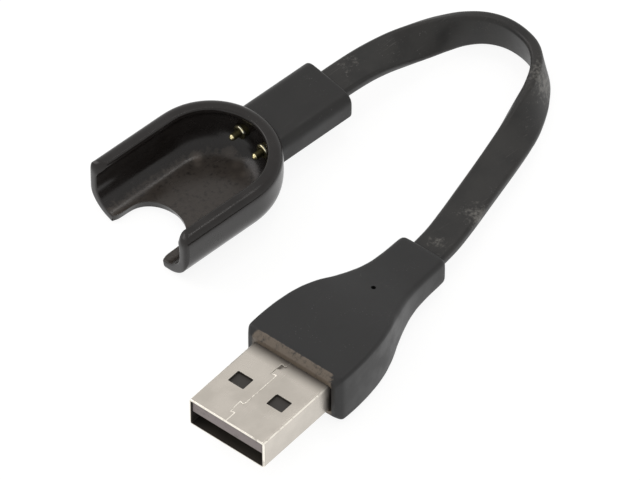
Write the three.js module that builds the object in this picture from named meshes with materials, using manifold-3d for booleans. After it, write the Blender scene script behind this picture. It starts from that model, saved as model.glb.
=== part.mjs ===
// Charging cable for a small wrist tracker: a cup that grips the tracker over two sprung pins,
// a square neck, a short flat cable and a USB-A plug.
// Millimetres, +Z up. The origin is on the table under the middle of the cup and its neck.
// +X runs from the open mouth of the cup to the cable.
import * as THREE from "three";
import { mergeVertices } from "three/addons/utils/BufferGeometryUtils.js";
import Module from "manifold-3d";

const wasm = await Module();
wasm.setup();

// ---- Driving dimensions ----------------------------------------------------------------------

const CUP = { length: 21.8, halfWidth: 9.4, height: 8.2, wall: 1.4, floor: 1.2, lip: 0.7, corner: 4.4 };
const NECK = { endX: 16.5, width: 8.74, height: 4.05, midZ: 4.98, edge: 0.9, wall: 0.7 };
const NOTCH = { halfWidth: 4.5, depth: 6.3, corner: 3.8 };
const PIN = { spacing: 4.4, z: 4.8, tipX: 1.15, travel: 1.0, shaft: 0.48, head: 0.68 };
const BARREL = { frontX: 2.7, rearX: 8.1, collar: 1.05, outer: 0.92, bore: 0.72, mouth: 0.52, tail: 0.35 };
const CABLE = { width: 5.0, thickness: 1.7, gap: 0.3, exitZ: 5.0 };
const SHELL = { width: 12.15, height: 4.5, wall: 0.3, corner: 0.4, shown: 12.3, length: 18.4 };
const TONGUE = { thickness: 1.84, width: 11.35, length: 9.5, frontX: 0.25 };
const CONTACT = { width: 1.0, thickness: 0.3, places: [3.5, 1.0, -1.0, -3.5] };
const PLUG = { at: [-31.44, -33.65, 4.85], roll: -2.5, pitch: 2.8, heading: 8.2, frontX: 12.7, tailX: 39.15 };

const mouthX = NECK.endX - 33.0;
const roundX = mouthX + CUP.length - CUP.halfWidth; // centre of the cup's round end
const clear = 0.05; // running clearance between pieces that nest

// Overmould stations along the plug: place, half width, half height.
const OVERMOULD = [
  [12.7, 7.05, 2.95],
  [12.95, 7.38, 3.25],
  [13.5, 7.7, 3.75],
  [13.9, 7.75, 3.85],
  [16.0, 7.77, 3.88],
  [18.5, 7.65, 3.88],
  [21.0, 7.34, 3.85],
  [23.0, 6.94, 3.72],
  [25.0, 6.32, 3.48],
  [27.0, 5.52, 3.15],
  [29.0, 4.8, 2.8],
  [31.0, 4.22, 2.48],
  [33.0, 3.88, 2.25],
  [35.5, 3.72, 2.15],
  [38.5, 3.68, 2.12],
  [39.15, 3.48, 1.95],
];

// Middle of the flat cable from the neck to the plug, with its roll about its own length in
// degrees: flat at the neck, on edge round the loop, upside down at the plug.
const ROUTE = [
  [16.8, 0.0, 5.0, 0],
  [19.5, 0.0, 4.95, 1],
  [23.0, -0.05, 4.72, 6],
  [26.8, -0.4, 4.32, 18],
  [30.6, -1.1, 3.88, 43],
  [34.4, -2.0, 3.45, 65],
  [37.4, -3.05, 3.07, 79],
  [39.7, -4.75, 2.88, 87],
  [41.1, -7.1, 2.82, 92],
  [41.55, -9.85, 2.8, 95],
  [41.15, -12.6, 2.8, 98],
  [39.55, -15.2, 2.8, 105],
  [36.7, -17.55, 2.83, 118],
  [33.6, -19.3, 2.88, 137],
  [30.3, -20.9, 2.93, 157],
  [26.4, -22.4, 3.0, 172],
  [22.3, -23.8, 3.0, 178],
  [18.3, -25.15, 3.05, 180],
  [14.5, -26.4, 3.05, 181],
  [11.0, -27.4, 3.0, 182],
  [7.51, -28.04, 2.93, 182.5],
];

// ---- Materials -------------------------------------------------------------------------------

const finish = (color, roughness, metalness = 0) => new THREE.MeshStandardMaterial({ color, roughness, metalness });
const LOOK = {
  cup: () => finish(0x2b2927, 0.42),
  rubber: () => finish(0x343233, 0.6),
  cable: () => finish(0x3a3839, 0.55),
  nickel: () => finish(0xc8bfb4, 0.28, 1),
  gold: () => finish(0xe0bf6a, 0.22, 1),
  steel: () => finish(0x9a9a9c, 0.35, 1),
  insulator: () => finish(0x4a4641, 0.55),
  mould: () => finish(0xd9d6cc, 0.6),
  board: () => finish(0x1f5a3a, 0.5),
  red: () => finish(0xb32a26, 0.5),
  black: () => finish(0x232323, 0.5),
};

// ---- Solids ----------------------------------------------------------------------------------

function solid(geometry) {
  const bare = geometry.clone();
  for (const name of ["normal", "uv"]) bare.deleteAttribute(name);
  const merged = mergeVertices(bare, 1e-4);
  const vertProperties = new Float32Array(merged.attributes.position.array);
  return new wasm.Manifold(new wasm.Mesh({ numProp: 3, vertProperties, triVerts: new Uint32Array(merged.index.array) }));
}

function geometryOf(body) {
  const { vertProperties, triVerts } = body.getMesh();
  const geometry = new THREE.BufferGeometry();
  geometry.setAttribute("position", new THREE.BufferAttribute(new Float32Array(vertProperties), 3));
  geometry.setIndex(new THREE.BufferAttribute(new Uint32Array(triVerts), 1));
  geometry.computeVertexNormals();
  return geometry;
}

const cut = (body, ...tools) => tools.reduce((left, tool) => left.subtract(tool), body);
const join = (body, ...more) => more.reduce((left, part) => left.add(part), body);

// ---- Shapes ----------------------------------------------------------------------------------

const v2 = (x, y) => new THREE.Vector2(x, y);
const v3 = (x, y, z) => new THREE.Vector3(x, y, z);

// Points on an arc, angles in degrees.
function arc(cx, cy, radius, from, to, count) {
  return Array.from({ length: count + 1 }, (_, i) => {
    const angle = THREE.MathUtils.degToRad(from + ((to - from) * i) / count);
    return v2(cx + radius * Math.cos(angle), cy + radius * Math.sin(angle));
  });
}

// A rectangle between two corners, with a radius for each corner:
// low x low y, high x low y, high x high y, low x high y.
function roundedBox(x0, y0, x1, y1, radii, count = 4) {
  const [a, b, c, d] = Array.isArray(radii) ? radii : [radii, radii, radii, radii];
  const corner = (x, y, r, from) => (r > 0 ? arc(x, y, r, from, from + 90, count) : [v2(x, y)]);
  return new THREE.Shape([
    ...corner(x0 + a, y0 + a, a, 180),
    ...corner(x1 - b, y0 + b, b, 270),
    ...corner(x1 - c, y1 - c, c, 0),
    ...corner(x0 + d, y1 - d, d, 90),
  ]);
}

const centred = (width, height, radius, midY = 0, midZ = 0, count = 4) =>
  roundedBox(midY - width / 2, midZ - height / 2, midY + width / 2, midZ + height / 2, radius, count);

const prism = (shape, depth) => new THREE.ExtrudeGeometry(shape, { depth, bevelEnabled: false, curveSegments: 12 });

// Prisms of a shape drawn in (y, z), (x, z) and (x, y).
const alongX = (shape, x0, x1) =>
  prism(shape, x1 - x0).applyMatrix4(new THREE.Matrix4().set(0, 0, 1, x0, 1, 0, 0, 0, 0, 1, 0, 0, 0, 0, 0, 1));
const alongY = (shape, y0, y1) =>
  prism(shape, y1 - y0).applyMatrix4(new THREE.Matrix4().set(1, 0, 0, 0, 0, 0, -1, y1, 0, 1, 0, 0, 0, 0, 0, 1));
const alongZ = (shape, z0, z1) => prism(shape, z1 - z0).translate(0, 0, z0);

// A turned piece about the X axis, from points (x, radius) in order of x along its outside.
function turnedX(points, y, z, segments = 24) {
  const profile = points.map(([x, r]) => v2(r, x));
  return new THREE.LatheGeometry(profile, segments).rotateZ(-Math.PI / 2).translate(0, y, z);
}

const rod = (radius, x0, x1, y, z, segments = 24) =>
  turnedX([[x0, 0], [x0, radius], [x1, radius], [x1, 0]], y, z, segments);

// ---- Cup -------------------------------------------------------------------------------------

// A trough with one round end: the half section (radius, z) is swept along X and turned about
// the round end's centre.
function trough(half, fromX) {
  const section = new THREE.Shape([...half, ...half.map((p) => v2(-p.x, p.y)).reverse()]);
  const profile = [v2(0, half[0].y), ...half, v2(0, half.at(-1).y)];
  const end = new THREE.LatheGeometry(profile, 64).rotateX(Math.PI / 2).translate(roundX, 0, 0);
  return join(solid(alongX(section, fromX, roundX)), solid(end));
}

function outerSection(grow = 0) {
  const { halfWidth, height, corner } = CUP;
  const r = halfWidth + grow;
  return [
    ...arc(halfWidth - corner, corner, corner + grow, -90, 0, 8),
    ...arc(r - 0.8, height - 0.8, 0.8, 0, 90, 3),
  ];
}

function innerSection() {
  const { halfWidth, height, wall, floor, lip, corner } = CUP;
  const r = halfWidth - wall;
  const bend = corner - floor + 0.05;
  return [
    ...arc(r - bend, floor + bend, bend, -90, 0, 8),
    v2(r, height - 1.9),
    v2(r - 0.15, height - 1.3),
    v2(r - lip, height - 0.7),
    v2(r - lip, height + 1),
  ];
}

// The thumb notch in the floor at the mouth, grown by a margin.
function notch() {
  const { halfWidth, depth, corner } = NOTCH;
  return alongZ(roundedBox(mouthX - 5, -halfWidth, mouthX + depth, halfWidth, [0, corner, corner, 0], 8), -1, 2);
}

function cup() {
  const { halfWidth, height } = CUP;
  const plan = roundedBox(mouthX, -halfWidth - 1, mouthX + 30, halfWidth + 1, 0);
  const side = roundedBox(mouthX, -1, mouthX + 30, height, [0, 0, 0, 1.4], 4);
  const arms = alongZ(roundedBox(mouthX, -halfWidth, mouthX + 30, halfWidth, [0.6, 0, 0, 0.6], 4), -1, height + 1);
  const blank = trough(outerSection(), mouthX)
    .intersect(solid(alongZ(plan, -1, height + 1)))
    .intersect(solid(alongY(side, -halfWidth - 1, halfWidth + 1)))
    .intersect(solid(arms));
  const holes = [1, -1].map((s) => solid(rod(BARREL.outer + clear, 2, 6, (s * PIN.spacing) / 2, PIN.z)));
  return geometryOf(cut(blank, trough(innerSection(), mouthX - 5), solid(notch()), ...holes));
}

// ---- Neck and what it holds ------------------------------------------------------------------

const neckRoomEnd = 12.4;

function neckSleeve() {
  const { endX, width, height, midZ, edge, wall } = NECK;
  const bar = solid(alongX(centred(width, height, edge, 0, midZ), 0, endX));
  const plan = roundedBox(-5, -width / 2, endX, width / 2, [0, 0.5, 0.7, 0]);
  const side = roundedBox(-5, midZ - height / 2, endX, midZ + height / 2, [0, 0.35, 0.5, 0]);
  const room = alongX(centred(width - 2 * wall, height - 2 * wall, 0.4, 0, midZ), -1, neckRoomEnd);
  const slot = alongX(cableSection(2 * clear, CABLE.exitZ), neckRoomEnd - 1, endX + 1);
  const outside = bar
    .intersect(solid(alongZ(plan, 0, 12)))
    .intersect(solid(alongY(side, -10, 10)));
  return geometryOf(cut(outside, trough(outerSection(0.3), mouthX), solid(room), solid(slot)));
}

function pinCarrier() {
  const block = solid(alongX(centred(6.9, 2.4, 0.3, 0, PIN.z + 0.08), 5.75, 7.8));
  return geometryOf(cut(block, ...[1, -1].map((s) => solid(rod(BARREL.outer + clear, 5, 9, (s * PIN.spacing) / 2, PIN.z)))));
}

function pinBoard() {
  const sheet = solid(alongX(centred(6.8, 2.4, 0.2, 0, PIN.z + 0.08), 8.4, 9.2));
  return geometryOf(cut(sheet, ...[1, -1].map((s) => solid(rod(BARREL.tail + clear, 8, 10, (s * PIN.spacing) / 2, PIN.z, 16)))));
}

// The barrel is turned as one closed profile, its bore open at the front.
function pinBarrel(y) {
  const { frontX, rearX, collar, outer, bore, mouth, tail } = BARREL;
  const outside = [
    [rearX - 0.5, 0],
    [rearX - 0.5, bore],
    [frontX + 0.5, bore],
    [frontX + 0.5, mouth],
    [frontX, mouth],
    [frontX, collar - 0.1],
    [frontX + 0.1, collar],
    [frontX + 0.35, collar],
    [frontX + 0.35, outer],
    [rearX, outer],
    [rearX, tail],
    [rearX + 1.7, tail],
    [rearX + 1.7, 0],
  ];
  return turnedX(outside, y, PIN.z);
}

const headX = BARREL.frontX + 0.5 + clear;

function pinPlunger(y) {
  const { tipX, shaft, head } = PIN;
  const tip = arc(tipX + shaft, 0, shaft, 180, 90, 5).map((p) => [p.x, Math.max(p.y, 0)]);
  return turnedX([...tip, [headX, shaft], [headX, head], [headX + 1.0, head], [headX + 1.0, 0]], y, PIN.z);
}

// A coil spring between the plunger's head and the barrel's rear wall.
class Helix extends THREE.Curve {
  constructor(x0, x1, radius, turns, y, z) {
    super();
    Object.assign(this, { x0, x1, radius, turns, y, z });
  }
  getPoint(t, target = v3(0, 0, 0)) {
    const angle = 2 * Math.PI * this.turns * t;
    return target.set(
      this.x0 + (this.x1 - this.x0) * t,
      this.y + this.radius * Math.cos(angle),
      this.z + this.radius * Math.sin(angle),
    );
  }
}

function pinSpring(y) {
  const wire = 0.09;
  const path = new Helix(headX + 1.1 + wire, BARREL.rearX - 0.6 - wire, 0.52, 6, y, PIN.z);
  return new THREE.ExtrudeGeometry(new THREE.Shape(arc(0, 0, wire, 0, 300, 5)), { steps: 72, extrudePath: path });
}

// A short insulated wire through a few points.
function wire(points, radius) {
  const path = new THREE.CatmullRomCurve3(points.map((p) => v3(...p)));
  return new THREE.ExtrudeGeometry(new THREE.Shape(arc(0, 0, radius, 0, 315, 7)), { steps: 12, extrudePath: path });
}

// ---- Cable -----------------------------------------------------------------------------------

// The flat cable's section with rounded edges, in (y, z).
function cableSection(grow = 0, z = 0) {
  const { width, thickness } = CABLE;
  return centred(width + grow, thickness + grow, (thickness + grow) * 0.42, 0, z, 1);
}

// A route whose section turns about it as the roll values say.
class RolledRoute extends THREE.CatmullRomCurve3 {
  constructor(stations) {
    super(stations.map(([x, y, z]) => v3(x, y, z)), false, "centripetal");
    this.rolls = stations.map((s) => THREE.MathUtils.degToRad(s[3]));
  }
  rollAt(u) {
    const t = this.getUtoTmapping(u) * (this.rolls.length - 1);
    const i = Math.min(Math.floor(t), this.rolls.length - 2);
    return THREE.MathUtils.lerp(this.rolls[i], this.rolls[i + 1], t - i);
  }
  computeFrenetFrames(segments) {
    const frames = { tangents: [], normals: [], binormals: [] };
    for (let i = 0; i <= segments; i++) {
      const tangent = this.getTangentAt(i / segments);
      const left = v3(0, 0, 1).cross(tangent).normalize();
      const up = tangent.clone().cross(left);
      const roll = this.rollAt(i / segments);
      const across = left.clone().multiplyScalar(Math.cos(roll)).addScaledVector(up, Math.sin(roll));
      const face = up.clone().multiplyScalar(Math.cos(roll)).addScaledVector(left, -Math.sin(roll));
      frames.tangents.push(tangent);
      frames.normals.push(across);
      frames.binormals.push(face);
    }
    return frames;
  }
}

const cable = () => new THREE.ExtrudeGeometry(cableSection(), { steps: 44, extrudePath: new RolledRoute(ROUTE) });

// ---- Plug, in its own frame: origin at the middle of the shell's front, +X to the cable --------

function usbShell() {
  const { width, height, wall, corner, length } = SHELL;
  const tube = solid(alongX(centred(width, height, corner), 0, length));
  const inside = solid(alongX(centred(width - 2 * wall, height - 2 * wall, corner - wall), -1, length + 1));
  const windows = [1, -1].map((s) => solid(alongZ(centred(2.1, 2.45, 0.12, 6.55, s * 3.15), -5, 5)));
  return geometryOf(cut(tube, inside, ...windows));
}

function usbInsulator() {
  const { wall, width, height } = SHELL;
  const top = height / 2 - wall - clear;
  const tongue = roundedBox(TONGUE.frontX, top - TONGUE.thickness, TONGUE.length + 1, top, 0);
  const half = width / 2 - wall - clear;
  const rear = alongX(roundedBox(-half, -top, half, top, 0.2), TONGUE.length, 17.6);
  const grooves = CONTACT.places.map((y) =>
    solid(alongX(roundedBox(y - 0.6, -0.3 - clear, y + 0.6, top - TONGUE.thickness + 0.12, 0), TONGUE.length - 1, 19)),
  );
  return geometryOf(cut(join(solid(alongY(tongue, -TONGUE.width / 2, TONGUE.width / 2)), solid(rear)), ...grooves));
}

// A contact blade under the tongue, with the bowed tip that touches the socket and a solder tail.
function contact(y) {
  const z = SHELL.height / 2 - SHELL.wall - 2 * clear - TONGUE.thickness;
  const t = CONTACT.thickness;
  const shape = new THREE.Shape(
    [[1.2, 0], [19.4, 0], [19.4, -t], [5.4, -t], [3.6, -t - 0.3], [2.2, -t - 0.3], [1.2, -t]]
      .reverse()
      .map(([x, dz]) => v2(x, z + dz)),
  );
  return alongY(shape, y - CONTACT.width / 2, y + CONTACT.width / 2);
}

// A rounded bar whose width and height follow the overmould's stations.
function overmouldBlank() {
  const bar = new THREE.ExtrudeGeometry(centred(2, 2, 0.16, 0, 0, 3), {
    depth: OVERMOULD.length - 1,
    steps: OVERMOULD.length - 1,
    bevelEnabled: false,
  });
  const place = bar.attributes.position;
  for (let i = 0; i < place.count; i++) {
    const [x, halfWidth, halfHeight] = OVERMOULD[Math.round(place.getZ(i))];
    place.setXYZ(i, x, place.getX(i) * halfWidth, place.getY(i) * halfHeight);
  }
  return bar;
}

function plugOvermould() {
  const pocket = alongX(centred(SHELL.width + 0.2, SHELL.height + 0.2, SHELL.corner), 10, SHELL.length + 0.3);
  const room = alongZ(new THREE.Shape([v2(18, -5.5), v2(22, -5.3), v2(27.4, -3.5), v2(27.4, 3.5), v2(22, 5.3), v2(18, 5.5)]), -2, 2);
  const slot = alongX(cableSection(2 * clear), 27, 40);
  const dimple = new THREE.CylinderGeometry(0.33, 0.33, 2, 16).rotateX(Math.PI / 2).translate(28.9, 0, 3.05);
  return geometryOf(cut(solid(overmouldBlank()), ...[pocket, room, slot, dimple].map(solid)));
}

// The hard mould round the solder tails, hollow for the wires.
function plugInnerMould() {
  const plan = new THREE.Shape([v2(18.8, -5.3), v2(22, -5.1), v2(27, -3.2), v2(27, 3.2), v2(22, 5.1), v2(18.8, 5.3)]);
  const room = new THREE.Shape([v2(18, -4.5), v2(21.5, -4.4), v2(25.6, -2.0), v2(28, -2.0), v2(28, 2.0), v2(25.6, 2.0), v2(21.5, 4.4), v2(18, 4.5)]);
  return geometryOf(cut(solid(alongZ(plan, -1.8, 1.8)), solid(alongZ(room, -0.85, 0.75))));
}

// ---- Assembly --------------------------------------------------------------------------------

function mesh(name, geometry, material) {
  const piece = new THREE.Mesh(geometry, material);
  piece.name = name;
  return piece;
}

function cradle() {
  const group = new THREE.Group();
  group.add(
    mesh("cradle_cup", cup(), LOOK.cup()),
    mesh("neck_sleeve", neckSleeve(), LOOK.rubber()),
    mesh("pin_carrier", pinCarrier(), LOOK.mould()),
    mesh("pin_board", pinBoard(), LOOK.board()),
    mesh("cable_end_cradle", alongX(cableSection(0, CABLE.exitZ), 11.6, NECK.endX - 0.1), LOOK.cable()),
  );
  for (const [side, sign, look] of [["left", 1, LOOK.red], ["right", -1, LOOK.black]]) {
    const y = (sign * PIN.spacing) / 2;
    const lead = [[10.05, y, PIN.z], [10.4, y * 0.95, PIN.z], [11.0, y * 0.62, PIN.z], [11.35, y * 0.6, PIN.z]];
    group.add(
      mesh(`pin_barrel_${side}`, pinBarrel(y), LOOK.gold()),
      mesh(`pin_spring_${side}`, pinSpring(y), LOOK.steel()),
      mesh(`pin_plunger_${side}`, pinPlunger(y), LOOK.gold()),
      mesh(`cradle_wire_${side}`, wire(lead, 0.45), look()),
    );
  }
  return group;
}

function plug() {
  const group = new THREE.Group();
  group.add(
    mesh("plug_overmould", plugOvermould(), LOOK.rubber()),
    mesh("plug_inner_mould", plugInnerMould(), LOOK.mould()),
    mesh("usb_shell", usbShell(), LOOK.nickel()),
    mesh("usb_insulator", usbInsulator(), LOOK.insulator()),
    mesh("cable_end_plug", alongX(cableSection(), 27.7, PLUG.tailX - 0.1), LOOK.cable()),
  );
  CONTACT.places.forEach((y, i) => group.add(mesh(`usb_contact_${i + 1}`, contact(y), LOOK.gold())));
  for (const [side, sign, look] of [["red", 1, LOOK.red], ["black", -1, LOOK.black]]) {
    const lead = [[19.7, sign * 3.5, -0.1], [21.2, sign * 3.4, -0.08], [24.6, sign * 1.5, -0.02], [27.4, sign * 1.2, 0]];
    group.add(mesh(`plug_wire_${side}`, wire(lead, 0.45), look()));
  }
  const [roll, pitch, heading] = [PLUG.roll, PLUG.pitch, PLUG.heading].map(THREE.MathUtils.degToRad);
  group.rotation.set(roll, pitch, heading, "ZYX");
  group.position.set(...PLUG.at);
  return group;
}

const part = new THREE.Group();
part.add(cradle(), mesh("cable_flat", cable(), LOOK.cable()), plug());

export default part;
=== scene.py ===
"""Charging cable for a small wrist tracker, in metres: a cup with two sprung pins, its square
neck, a short flat cable and a USB-A plug. +X runs from the cup's mouth to the cable, +Z up."""
import math

import bmesh
import bpy
import numpy as np
from mathutils import Euler, Matrix, Vector


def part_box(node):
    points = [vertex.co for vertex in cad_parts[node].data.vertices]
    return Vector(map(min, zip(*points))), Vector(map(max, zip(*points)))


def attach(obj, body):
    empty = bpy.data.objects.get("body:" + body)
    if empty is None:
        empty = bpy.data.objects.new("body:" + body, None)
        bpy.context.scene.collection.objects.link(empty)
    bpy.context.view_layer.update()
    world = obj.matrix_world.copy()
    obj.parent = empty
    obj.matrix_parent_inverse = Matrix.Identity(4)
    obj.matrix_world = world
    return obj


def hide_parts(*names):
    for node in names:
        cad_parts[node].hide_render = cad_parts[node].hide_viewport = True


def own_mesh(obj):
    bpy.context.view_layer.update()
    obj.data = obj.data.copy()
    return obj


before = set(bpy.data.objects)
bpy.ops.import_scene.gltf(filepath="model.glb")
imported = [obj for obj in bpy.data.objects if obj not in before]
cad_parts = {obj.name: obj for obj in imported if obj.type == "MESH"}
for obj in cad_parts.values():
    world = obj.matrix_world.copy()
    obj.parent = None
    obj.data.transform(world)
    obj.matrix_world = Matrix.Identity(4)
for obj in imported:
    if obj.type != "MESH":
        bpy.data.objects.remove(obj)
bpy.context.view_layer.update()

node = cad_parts
MM = 0.001

# ---- Camera, table and light ------------------------------------------------------------------
# A long lens looks down on the open cup from beyond its mouth. The table is white and the studio
# is a pale dome with two soft boxes overhead, so dark mouldings show their shape by reflection.
LOOK_AT = Vector((0.001065, -0.015145, 0.0))
CAMERA_AZIMUTH, CAMERA_HEIGHT, CAMERA_DISTANCE = math.radians(-42.2), math.radians(50.0), 1.0
TABLE_SIZE = 6.0


def nodes_of(owner):
    """The emptied node tree of a material or world."""
    owner.use_nodes = True
    owner.node_tree.nodes.clear()
    return owner.node_tree


def add(tree, kind, **values):
    """A new node, its inputs or settings given by name."""
    made = tree.nodes.new(kind)
    for name, value in values.items():
        if name in made.inputs:
            made.inputs[name].default_value = value
        else:
            setattr(made, name, value)
    return made


def face_middle(thing, place):
    """A camera or lamp at a place measured from the view's middle, turned to face it."""
    made = bpy.data.objects.new(thing.name, thing)
    made.location = LOOK_AT + Vector(place)
    made.rotation_euler = (-Vector(place)).to_track_quat("-Z", "Y").to_euler()
    bpy.context.scene.collection.objects.link(made)
    return made


def make_camera():
    data = bpy.data.cameras.new("studio_camera")
    data.lens, data.sensor_width, data.clip_start, data.clip_end = 440.0, 36.0, 0.01, 10.0
    flat = CAMERA_DISTANCE * math.cos(CAMERA_HEIGHT)
    back = Vector((math.sin(CAMERA_AZIMUTH) * flat, -math.cos(CAMERA_AZIMUTH) * flat,
                   CAMERA_DISTANCE * math.sin(CAMERA_HEIGHT)))
    bpy.context.scene.camera = face_middle(data, back)


def soft_box(name, place, size, power, tint):
    data = bpy.data.lights.new(name, "AREA")
    data.shape, data.size, data.energy, data.color = "DISK", size, power, tint
    face_middle(data, place)


def make_world():
    bpy.context.scene.view_settings.view_transform = "Standard"
    world = bpy.data.worlds.new("studio")
    bpy.context.scene.world = world
    tree = nodes_of(world)
    link = tree.links.new
    where = add(tree, "ShaderNodeTexCoord")
    split = add(tree, "ShaderNodeSeparateXYZ")
    ramp = add(tree, "ShaderNodeValToRGB")
    ramp.color_ramp.elements[0].color = (1.0, 0.995, 0.985, 1)
    ramp.color_ramp.elements[1].color = (0.78, 0.77, 0.76, 1)
    sky = add(tree, "ShaderNodeBackground", Strength=1.0)
    out = add(tree, "ShaderNodeOutputWorld")
    link(where.outputs["Generated"], split.inputs[0])
    link(split.outputs["Z"], ramp.inputs["Fac"])
    link(ramp.outputs["Color"], sky.inputs["Color"])
    link(sky.outputs[0], out.inputs["Surface"])


def make_table():
    mesh = bpy.data.meshes.new("table")
    half = TABLE_SIZE / 2
    corners = [(-half, -half, 0), (half, -half, 0), (half, half, 0), (-half, half, 0)]
    mesh.from_pydata(corners, [], [(0, 1, 2, 3)])
    table = bpy.data.objects.new("table", mesh)
    bpy.context.scene.collection.objects.link(table)
    table.location.z = -0.0001
    paper = bpy.data.materials.new("white_table")
    tree = nodes_of(paper)
    link = tree.links.new
    grain = add(tree, "ShaderNodeTexNoise", Scale=40.0, Detail=3.0)
    tone = add(tree, "ShaderNodeValToRGB")
    tone.color_ramp.elements[0].color = (0.17, 0.17, 0.168, 1)
    tone.color_ramp.elements[1].color = (0.20, 0.20, 0.20, 1)
    face = add(tree, "ShaderNodeBsdfPrincipled", Roughness=0.9)
    face.inputs["Specular IOR Level"].default_value = 0.1
    face.inputs["Emission Color"].default_value = (1, 1, 1, 1)
    face.inputs["Emission Strength"].default_value = 0.87
    out = add(tree, "ShaderNodeOutputMaterial")
    link(grain.outputs[0], tone.inputs["Fac"])
    link(tone.outputs["Color"], face.inputs["Base Color"])
    link(face.outputs[0], out.inputs["Surface"])
    mesh.materials.append(paper)


make_camera()
make_world()
make_table()
soft_box("key_box", (0.315, 0.165, 0.93), 0.16, 0.5, (1.0, 0.98, 0.96))
soft_box("back_box", (-0.33, 0.69, 0.64), 0.6, 1.7, (1.0, 0.95, 0.95))

# ---- Cup --------------------------------------------------------------------------------------
# The cup is one glossy black ABS moulding, open at the mouth, with a thumb notch in its floor, a
# thin lip that the tracker snaps under, and two holes in its round end for the pins.
CUP_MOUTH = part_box("cradle_cup")[0].x - 0.14 * MM
CUP_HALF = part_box("cradle_cup")[1].y
CUP_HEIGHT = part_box("cradle_cup")[1].z
CUP_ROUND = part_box("cradle_cup")[1].x - CUP_HALF
CUP_WALL, CUP_FLOOR, CUP_LIP, CUP_CORNER = 1.4 * MM, 1.2 * MM, 0.7 * MM, 4.4 * MM
RIM_RADIUS, ARM_TOP, ARM_PLAN = 1.0 * MM, 1.3 * MM, 0.5 * MM
NOTCH_HALF, NOTCH_DEPTH, NOTCH_CORNER, UNDERCUT = 4.5 * MM, 6.45 * MM, 3.8 * MM, 0.4 * MM
EDGE = 0.14 * MM
PIN_HEIGHT, PIN_SIDE, CABLE_EXIT = 4.8 * MM, 2.2 * MM, 5.0 * MM
WALL_SHARES = (0.0, 0.1, 0.35, 0.65, 0.9, 1.0)


def arc(cx, cy, radius, start, end, steps):
    turn = [math.radians(start + (end - start) * i / steps) for i in range(steps + 1)]
    return [(cx + radius * math.cos(a), cy + radius * math.sin(a)) for a in turn]


def weld(mesh):
    bmesh.ops.remove_doubles(mesh, verts=mesh.verts, dist=1e-6)
    bmesh.ops.recalc_face_normals(mesh, faces=mesh.faces)


def piece_of(mesh, name):
    """An object at the origin made from a bmesh."""
    data = bpy.data.meshes.new(name)
    mesh.to_mesh(data)
    mesh.free()
    piece = bpy.data.objects.new(name, data)
    bpy.context.scene.collection.objects.link(piece)
    return piece


def settle(piece):
    """Turns the piece's modifiers into its mesh."""
    bpy.context.view_layer.update()
    seen = piece.evaluated_get(bpy.context.evaluated_depsgraph_get())
    old = piece.data
    piece.data = bpy.data.meshes.new_from_object(seen)
    piece.data.name = piece.name
    piece.modifiers.clear()
    bpy.data.meshes.remove(old)
    return piece


def rounded(piece, levels=2):
    """Subdivides the control mesh to its smooth moulded surface."""
    surface = piece.modifiers.new("surface", "SUBSURF")
    surface.levels = surface.render_levels = levels
    return settle(piece)


def cut_away(piece, *tools):
    """Cuts the tools' closed shapes out of the piece, and throws the tools away."""
    for tool in tools:
        cut = piece.modifiers.new("cut", "BOOLEAN")
        cut.operation, cut.solver, cut.object = "DIFFERENCE", "EXACT", tool
    settle(piece)
    for tool in tools:
        bpy.data.objects.remove(tool)
    return piece


def shade(piece, angle=38.0):
    """Smooth shading that breaks at real corners."""
    piece.data.shade_smooth()
    piece.data.set_sharp_from_angle(angle=math.radians(angle))


def mark_edges(piece, reach=2):
    """Stores in the attribute "edge" how far each point stands out of its surroundings."""
    data = piece.data
    co = np.zeros(len(data.vertices) * 3)
    data.vertices.foreach_get("co", co)
    co = co.reshape(-1, 3)
    normal = np.zeros(len(data.vertices) * 3)
    data.vertices.foreach_get("normal", normal)
    normal = normal.reshape(-1, 3)
    ends = np.zeros(len(data.edges) * 2, dtype=np.int64)
    data.edges.foreach_get("vertices", ends)
    ends = ends.reshape(-1, 2)
    step = co[ends[:, 1]] - co[ends[:, 0]]
    size = np.maximum(np.linalg.norm(step, axis=1), 1e-9)[:, None]
    bend = np.zeros(len(co))
    count = np.zeros(len(co))
    for a, b, sign in ((0, 1, 1), (1, 0, -1)):
        np.add.at(bend, ends[:, a], -(sign * step / size * normal[ends[:, a]]).sum(1))
        np.add.at(count, ends[:, a], 1)
    bend = bend / np.maximum(count, 1)
    for _ in range(reach):
        total = bend.copy()
        share = np.ones(len(co))
        for a, b in ((0, 1), (1, 0)):
            np.add.at(total, ends[:, a], bend[ends[:, b]])
            np.add.at(share, ends[:, a], 1)
        bend = total / share
    store(piece, "edge", np.clip(bend * 4.0, 0, 1))


def store(piece, label, values, domain="POINT"):
    """Keeps one number per point or face under the label."""
    held = piece.data.attributes.get(label) or piece.data.attributes.new(label, "FLOAT", domain)
    held.data.foreach_set("value", np.array(values, dtype=np.float32))


def rod(name, radius, start, end, y, z, steps=40):
    """A closed cylinder along X."""
    mesh = bmesh.new()
    length = end - start
    place = Matrix.Translation(((start + end) / 2, y, z)) @ Matrix.Rotation(math.pi / 2, 4, "Y")
    bmesh.ops.create_cone(mesh, cap_ends=True, segments=steps, radius1=radius, radius2=radius,
                          depth=length, matrix=place)
    bmesh.ops.recalc_face_normals(mesh, faces=mesh.faces)
    return piece_of(mesh, name)


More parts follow.
